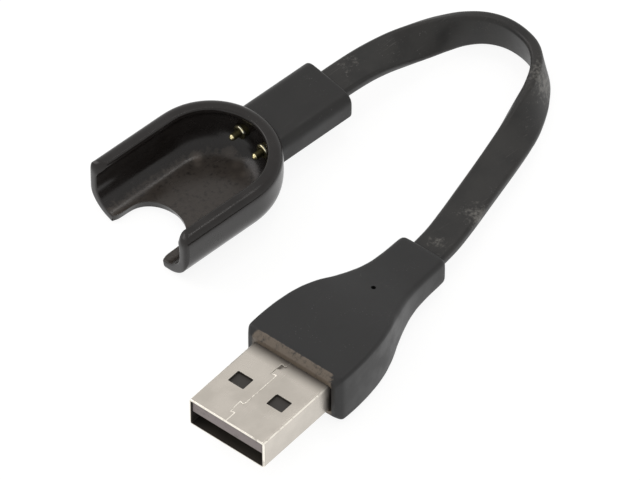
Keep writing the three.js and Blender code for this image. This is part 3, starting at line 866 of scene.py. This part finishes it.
def grip_rings():
    """Rings along the plug: a chamfered front edge, the tapering outline and a rounded tail."""
    rings = []
    ring = lambda x, half_y, half_z, radius, crown=0.06: [
        Vector((x * MM, y, z)) for y, z in rounded_rect(half_y * MM, half_z * MM, radius * MM, 4, crown * MM)]
    for x, w, h in ((12.7, 7.0, 2.95), (12.74, 7.1, 3.02), (12.95, 7.3, 3.25), (13.3, 7.55, 3.6),
                    (13.55, 7.68, 3.8)):
        rings.append(ring(x, w, h, 0.55))
    for (x, w, h), follow in zip(GRIP_OUTLINE, GRIP_OUTLINE[1:] + [None]):
        radius = 0.58 if x < 26 else 0.8
        rings.append(ring(x, w, h, radius))
        if follow:
            rings.append(ring((x + follow[0]) / 2, (w + follow[1]) / 2, (h + follow[2]) / 2, radius))
    end = 0.6
    xe, we, he = GRIP_OUTLINE[-1]
    for turn in (35, 65, 90):
        a = math.radians(turn)
        inset = end * 0.6 * (1 - math.cos(a))
        rings.append(ring(xe + (end + 0.1) * math.sin(a), we - inset, he - inset, 0.8))
    return rings


grip = loft("plug_grip", grip_rings(), (0.86, 0.4))
rounded(grip)
grip.data.transform(PLUG_PLACE)
pocket = box_tool("pocket", (10 * MM, -6.45 * MM, -2.4 * MM), (18.7 * MM, 6.2 * MM, 2.28 * MM), 0.5 * MM)
dimple = rod("dimple", 0.33 * MM, 2.05 * MM, 4 * MM, 0, 0, 32)
UPRIGHT = Matrix.Rotation(-math.pi / 2, 4, "Y")
dimple.data.transform(PLUG_PLACE @ Matrix.Translation((28.9 * MM, 0, 0)) @ UPRIGHT)
cut_away(grip, pocket, dimple, cable_slot("slot", 30 * MM, 41 * MM, 0.0, PLUG_PLACE))
shade(grip)
mark_edges(grip)
back = PLUG_PLACE.inverted()
lightened = []
for v in grip.data.vertices:
    spot = back @ v.co
    beside = min(max((6.75 * MM - abs(spot.y)) / (0.6 * MM), 0.0), 1.0)
    above = 1 - 0.15 * min(max((spot.z - 2.7 * MM) / (0.8 * MM), 0.0), 1.0)
    lightened.append(min(max((13.62 * MM - spot.x) / (0.15 * MM), 0.0), 1.0) * beside * above)
store(grip, "lightening", lightened)
grip.data.materials.append(moulded(
    "plug_rubber", (0.0080, 0.0079, 0.0080), (0.0112, 0.0110, 0.0112), (0.04, 0.038, 0.036), 0.46,
    grain=4600.0, depth=0.012, dust=0.3, scuffs=0.3, rubbing=0.35, turn=PLUG_TURN,
    lightening_colour=(0.125, 0.10, 0.076)))
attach(grip, "body")
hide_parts("plug_overmould")

# ---- USB shell --------------------------------------------------------------------------------
# The shell is nickel-plated sheet steel, folded round and locked down the middle of its top by a
# dovetailed seam, with two latch windows through its top and two through its bottom.
WINDOW_X, WINDOW_Y, WINDOW_LONG, WINDOW_WIDE = 6.55 * MM, 3.12 * MM, 2.1 * MM, 2.5 * MM
SEAM = [(-0.5, 0.15), (1.85, 0.15), (1.7, 0.78), (3.75, 0.84), (3.6, 0.2), (4.1, 0.14), (9.5, 0.14),
        (9.95, 0.22), (9.75, 0.86), (11.9, 0.9), (11.7, 0.2), (12.2, 0.14), (19.0, 0.14)]
SEAM_GAP = 0.13 * MM


def strip_tool(name, line, gap, low, high):
    """A thin upright wall that follows a line in plan, used to cut the seam."""
    mesh = bmesh.new()
    points = [Vector((x, y)) * MM for x, y in line]
    sides = []
    for i, p in enumerate(points):
        before = (p - points[i - 1]).normalized() if i else (points[1] - p).normalized()
        after = (points[i + 1] - p).normalized() if i + 1 < len(points) else before
        across = Vector((-(before + after).y, (before + after).x)).normalized()
        wide = gap / 2 / max(across.dot(Vector((-before.y, before.x))), 0.3)
        sides.append((p + across * wide, p - across * wide))
    rings = []
    for a, b in sides:
        rings.append([mesh.verts.new((q.x, q.y, z)) for q, z in ((a, low), (b, low), (b, high), (a, high))])
    for a, b in zip(rings, rings[1:]):
        for i in range(4):
            mesh.faces.new((a[i], a[(i + 1) % 4], b[(i + 1) % 4], b[i]))
    mesh.faces.new(rings[0])
    mesh.faces.new(rings[-1])
    weld(mesh)
    return piece_of(mesh, name)


def tube_part(name, half_y, half_z, radius, start, end, lip=0.0, stations=()):
    """A bar with round long edges along X. Its front edge can be rolled in by the lip's radius."""
    rings = []
    for turn in ((0, 30, 60, 90) if lip else (90,)):
        inset = lip * (1 - math.sin(math.radians(turn)))
        x = start + lip * (1 - math.cos(math.radians(turn)))
        rings.append([Vector((x, y, z)) for y, z in rounded_rect(half_y - inset, half_z - inset, radius, 6)])
    for x in (*stations, end):
        rings.append([Vector((x, y, z)) for y, z in rounded_rect(half_y, half_z, radius, 6)])
    return loft(name, rings)


def bevelled(piece, width, strip, groove=None):
    """Rounds the sharp edges, cuts the groove if any and keeps the flats flat. Faces narrower than
    the strip count as edges, unless they lie nearly flat beside a long round corner."""
    soft = piece.modifiers.new("edges", "BEVEL")
    soft.width, soft.segments = width, 2
    soft.limit_method, soft.angle_limit = "ANGLE", math.radians(35.0)
    soft.use_clamp_overlap = True
    settle(piece)
    if groove:
        cut_away(piece, groove)
    piece.data.shade_smooth()
    flat = piece.modifiers.new("flats", "WEIGHTED_NORMAL")
    flat.weight, flat.keep_sharp = 100, True
    settle(piece)
    points = piece.data.vertices
    narrow = []
    for face in piece.data.polygons:
        longest = max((points[a].co - points[b].co).length for a, b in face.edge_keys)
        along_corner = abs(face.normal.x) < 0.1 and 0.85 < max(abs(face.normal.y), abs(face.normal.z)) < 0.999
        narrow.append(face.area / longest < strip and not along_corner)
    store(piece, "edge", narrow, "FACE")
    return piece


shell = tube_part("plug_shell", SHELL_WIDTH / 2, SHELL_HEIGHT / 2, SHELL_CORNER, 0.0, SHELL_LENGTH, 0.16 * MM,
                  [x * MM for x in (10.6, 11.1, 11.6, 12.1, 12.6, 13.1)])
hollow = tube_part("hollow", SHELL_WIDTH / 2 - SHELL_WALL, SHELL_HEIGHT / 2 - SHELL_WALL,
                   SHELL_CORNER - SHELL_WALL, -1 * MM, SHELL_LENGTH + 1 * MM)
windows = []
for s in (1, -1):
    window = tube_part(f"window_{s}", WINDOW_WIDE / 2, WINDOW_LONG / 2, 0.14 * MM, -5 * MM, 5 * MM)
    window.data.transform(Matrix.Translation((WINDOW_X, s * WINDOW_Y, 0)) @ UPRIGHT)
    windows.append(window)
seam = strip_tool("seam", SEAM, SEAM_GAP, SHELL_HEIGHT / 2 - 0.015 * MM, 3 * MM)
cut_away(shell, hollow, *windows)
bevelled(shell, 0.055 * MM, 0.135 * MM, seam)
inside_y, inside_z = SHELL_WIDTH / 2 - 0.9 * SHELL_WALL, SHELL_HEIGHT / 2 - 0.9 * SHELL_WALL
# Painted shade and reflection: the shell's top darkens towards the grip as if shaded by it and mirroring it,
# less so underneath; its hidden inside is darkened fully, as unplated metal in shade.
shade_and_tarnish = []
for v in shell.data.vertices:
    shaded = min(max((v.co.x - 10.5 * MM) / (1.9 * MM), 0.0), 1.0)
    hidden = abs(v.co.y) < inside_y and abs(v.co.z) < inside_z
    shade_and_tarnish.append(1.0 if hidden else 0.85 * shaded ** 1.2 * (1.0 if v.co.z > 0 else 0.3))
store(shell, "inner", shade_and_tarnish)
shell.data.transform(PLUG_PLACE)
shell.data.materials.append(metal("shell_nickel", (0.56, 0.52, 0.465), (0.64, 0.595, 0.535), 0.2,
                                  turn=PLUG_TURN, brushed=0.08, bump_depth=0.0015))
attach(shell, "body")
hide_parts("usb_shell")

# ---- Insulator, contacts and the pieces inside ------------------------------------------------
# The contact tongue is black glass-filled plastic with four gold-plated blades under it. Behind
# it are the soldered wires in a hard cream mould, and in the neck a small board and pin carrier.


def softened(node_name, name, width):
    """A finished copy of a CAD node: welded, its flat faces joined up and its edges rounded."""
    mesh = bmesh.new()
    mesh.from_mesh(node[node_name].data)
    mesh.transform(node[node_name].matrix_basis)
    bmesh.ops.remove_doubles(mesh, verts=mesh.verts, dist=2e-6)
    bmesh.ops.dissolve_limit(mesh, angle_limit=math.radians(1.0), verts=mesh.verts, edges=mesh.edges)
    bmesh.ops.recalc_face_normals(mesh, faces=mesh.faces)
    piece = piece_of(mesh, name)
    if width:
        bevelled(piece, width, width * 0.9)
    else:
        shade(piece, 30.0)
        mark_edges(piece, 0)
    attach(piece, "body")
    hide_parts(node_name)
    return piece


insulator_plastic = moulded(
    "insulator_plastic", (0.024, 0.021, 0.018), (0.032, 0.028, 0.024), (0.09, 0.085, 0.08), 0.5, dust=0.1,
    scuffs=0.2, rubbing=0.3, turn=PLUG_TURN, lightening_colour=(0.20, 0.17, 0.165))
cream, board, red, black = (moulded(*tones, dust=0.0, scuffs=0.1) for tones in (
    ("inner_mould", (0.62, 0.60, 0.53), (0.72, 0.70, 0.63), (0.80, 0.78, 0.72), 0.5),
    ("board_green", (0.012, 0.065, 0.028), (0.02, 0.09, 0.04), (0.2, 0.18, 0.08), 0.35),
    ("wire_red", (0.36, 0.016, 0.012), (0.45, 0.025, 0.018), (0.5, 0.1, 0.08), 0.45),
    ("wire_black", (0.012, 0.012, 0.012), (0.02, 0.02, 0.02), (0.05, 0.05, 0.05), 0.45)))
INSIDE = [("usb_insulator", "contact_tongue", 0.06 * MM, insulator_plastic, "insulator_plastic"),
          ("plug_inner_mould", "solder_mould", 0.12 * MM, cream, "inner_mould"),
          ("pin_carrier", "carrier_block", 0.06 * MM, cream, "inner_mould"),
          ("pin_board", "pin_board_sheet", 0.04 * MM, board, "board_green"),
          ("cradle_wire_left", "neck_wire_left", 0.0, red, "wire_red"),
          ("cradle_wire_right", "neck_wire_right", 0.0, black, "wire_black"),
          ("plug_wire_red", "lead_red", 0.0, red, "wire_red"),
          ("plug_wire_black", "lead_black", 0.0, black, "wire_black")]
INSIDE += [(f"usb_contact_{i}", f"contact_blade_{i}", 0.03 * MM, gold, "contact_gold") for i in range(1, 5)]
for node_name, name, width, finish, slot in INSIDE:
    made = softened(node_name, name, width)
    if name == "contact_tongue":
        store(made, "lightening", [(back @ face.center).x < 0.5 * MM for face in made.data.polygons], "FACE")
    made.data.materials.clear()
    made.data.materials.append(finish)

# ---- Flat cable -------------------------------------------------------------------------------
# A flat two-core cable with a soft PVC jacket. It leaves the neck level, turns on edge round the
# loop and comes into the plug the other way up, so its own spring holds the loop open.
ROUTE = [
    (16.8, 0.0, 5.0, 0), (19.5, 0.0, 4.95, 1), (23.0, -0.05, 4.72, 6), (26.8, -0.4, 4.32, 18),
    (30.6, -1.1, 3.88, 43), (34.4, -2.0, 3.45, 65), (37.4, -3.05, 3.07, 79), (39.7, -4.75, 2.88, 87),
    (41.1, -7.1, 2.82, 92), (41.55, -9.85, 2.8, 95), (41.15, -12.6, 2.8, 98), (39.55, -15.2, 2.8, 105),
    (36.7, -17.55, 2.83, 118), (33.6, -19.3, 2.88, 137), (30.3, -20.9, 2.93, 157), (26.4, -22.4, 3.0, 172),
    (22.3, -23.8, 3.0, 178), (18.3, -25.15, 3.05, 180), (14.5, -26.4, 3.05, 181), (11.0, -27.4, 3.0, 182),
    (7.51, -28.04, 2.93, 182.5)]
CABLE_STEP = 0.35 * MM


def curve_through(points, step):
    """Points a step apart on a centripetal spline through (x, y, z, roll) points."""
    knots = [np.array(p, float) for p in points]
    knots = [2 * knots[0] - knots[1]] + knots + [2 * knots[-1] - knots[-2]]
    dense = []
    for p0, p1, p2, p3 in zip(knots, knots[1:], knots[2:], knots[3:]):
        d0, d1, d2 = (np.linalg.norm((b - a)[:3]) ** 0.5 for a, b in ((p0, p1), (p1, p2), (p2, p3)))
        m1 = ((p1 - p0) / d0 - (p2 - p0) / (d0 + d1) + (p2 - p1) / d1) * d1
        m2 = ((p2 - p1) / d1 - (p3 - p1) / (d1 + d2) + (p3 - p2) / d2) * d1
        count = max(int(np.linalg.norm((p2 - p1)[:3]) / step), 2)
        for i in range(count):
            t = i / count
            squared, cubed = -3 * p1 + 3 * p2 - 2 * m1 - m2, 2 * p1 - 2 * p2 + m1 + m2
            dense.append(p1 + m1 * t + squared * t ** 2 + cubed * t ** 3)
    dense.append(knots[-2])
    return np.array(dense)


def cable_line():
    """The cable's middle line as a mesh of short edges, with the way its width faces at each point."""
    line = curve_through([(x * MM, y * MM, z * MM, roll) for x, y, z, roll in ROUTE], CABLE_STEP)
    start = line[0].copy()
    start[0] -= 0.9 * MM
    inward = line[-1] - line[-2]
    end = line[-1] + inward / np.linalg.norm(inward[:3]) * 0.9 * MM
    end[3] = line[-1][3]
    line = np.vstack([start, line, end])
    places = line[:, :3]
    tangents = np.gradient(places, axis=0)
    tangents /= np.linalg.norm(tangents, axis=1)[:, None]
    left = np.cross([0, 0, 1.0], tangents)
    left /= np.linalg.norm(left, axis=1)[:, None]
    up = np.cross(tangents, left)
    roll = np.radians(line[:, 3])[:, None]
    across = left * np.cos(roll) + up * np.sin(roll)
    mesh = bpy.data.meshes.new("cable_line")
    mesh.from_pydata([tuple(p) for p in places], [(i, i + 1) for i in range(len(places) - 1)], [])
    held = mesh.attributes.new("width_way", "FLOAT_VECTOR", "POINT")
    held.data.foreach_set("vector", across.astype(np.float32).ravel())
    return mesh, places


def cable_tree():
    """Geometry Nodes that sweep the flat jacket's rounded section along the line."""
    tree = bpy.data.node_groups.new("flat_cable", "GeometryNodeTree")
    link = tree.links.new
    open_tree(tree, [(label, NUMBER) for label in ("Width", "Thickness", "Corner")])
    given, out = tree.nodes.new("NodeGroupInput"), tree.nodes.new("NodeGroupOutput")
    curve = add(tree, "GeometryNodeMeshToCurve")
    facing = add(tree, "GeometryNodeSetCurveNormal", mode="FREE")
    way = add(tree, "GeometryNodeInputNamedAttribute", data_type="FLOAT_VECTOR")
    way.inputs["Name"].default_value = "width_way"
    run = add(tree, "GeometryNodeSplineParameter")
    keep_run = add(tree, "GeometryNodeStoreNamedAttribute", data_type="FLOAT", domain="POINT")
    keep_run.inputs["Name"].default_value = "along"
    section = add(tree, "GeometryNodeCurvePrimitiveQuadrilateral")
    fillet = add(tree, "GeometryNodeFilletCurve", mode="POLY")
    fillet.inputs["Count"].default_value = 5
    even = add(tree, "GeometryNodeSubdivideCurve", Cuts=1)
    spot = add(tree, "GeometryNodeInputPosition")
    keep_spot = add(tree, "GeometryNodeStoreNamedAttribute", data_type="FLOAT_VECTOR", domain="POINT")
    keep_spot.inputs["Name"].default_value = "section"
    sweep = add(tree, "GeometryNodeCurveToMesh")
    sweep.inputs["Fill Caps"].default_value = True
    real = add(tree, "GeometryNodeRealizeInstances")
    paint = add(tree, "GeometryNodeSetMaterial")
    link(given.outputs["Geometry"], curve.inputs[0])
    link(curve.outputs[0], facing.inputs["Curve"])
    link(way.outputs[0], facing.inputs["Normal"])
    link(facing.outputs[0], keep_run.inputs["Geometry"])
    link(run.outputs["Length"], keep_run.inputs["Value"])
    link(given.outputs["Width"], section.inputs["Width"])
    link(given.outputs["Thickness"], section.inputs["Height"])
    link(section.outputs[0], fillet.inputs["Curve"])
    link(given.outputs["Corner"], fillet.inputs["Radius"])
    link(fillet.outputs[0], even.inputs["Curve"])
    link(even.outputs[0], keep_spot.inputs["Geometry"])
    link(spot.outputs[0], keep_spot.inputs["Value"])
    link(keep_run.outputs[0], sweep.inputs["Curve"])
    link(keep_spot.outputs[0], sweep.inputs["Profile Curve"])
    link(sweep.outputs[0], real.inputs[0])
    link(real.outputs[0], paint.inputs["Geometry"])
    link(given.outputs["Material"], paint.inputs["Material"])
    link(paint.outputs[0], out.inputs[0])
    return tree


jacket = moulded(
    "cable_jacket", (0.0060, 0.0055, 0.0050), (0.0150, 0.0140, 0.0125), (0.075, 0.072, 0.066), 0.42,
    grain=3800.0, depth=0.02, dust=0.5, scuffs=0.5, rubbing=0.4, lightening_colour=(0.115, 0.11, 0.10))
line_mesh, cable_places = cable_line()
flat_cable = grow_from("flat_cable", cable_tree(), line_mesh, Width=CABLE_WIDTH, Thickness=CABLE_THICK,
                       Corner=CABLE_CORNER, Material=jacket)
shade(flat_cable, 50.0)
mark_edges(flat_cable, 1)
# Paler patches along the jacket: place, reach (mm) and strength.
PALE_PATCHES = [((16.6, -27.6, 3.6), 3.8, 0.85), ((9.5, -28.0, 4.0), 3.0, 0.75), ((38.6, -17.0, 3.4), 6.5, 0.85),
        ((20.5, 0.6, 5.8), 5.0, 0.55)]
paled = []
for v in flat_cable.data.vertices:
    paled.append(max(share * (1 - (v.co - Vector(spot) * MM).length / (reach * MM))
                     for spot, reach, share in PALE_PATCHES))
store(flat_cable, "lightening", np.maximum(paled, 0.0))
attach(flat_cable, "body")
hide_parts("cable_flat")
for name in ("cable_end_cradle", "cable_end_plug"):
    node[name].data.materials.clear()
    node[name].data.materials.append(jacket)
beyond = ["contact_tongue", "solder_mould", "lead_red", "lead_black"]
beyond += [f"contact_blade_{i}" for i in range(1, 5)]

# ---- Final update -----------------------------------------------------------------------------
bpy.context.view_layer.update()
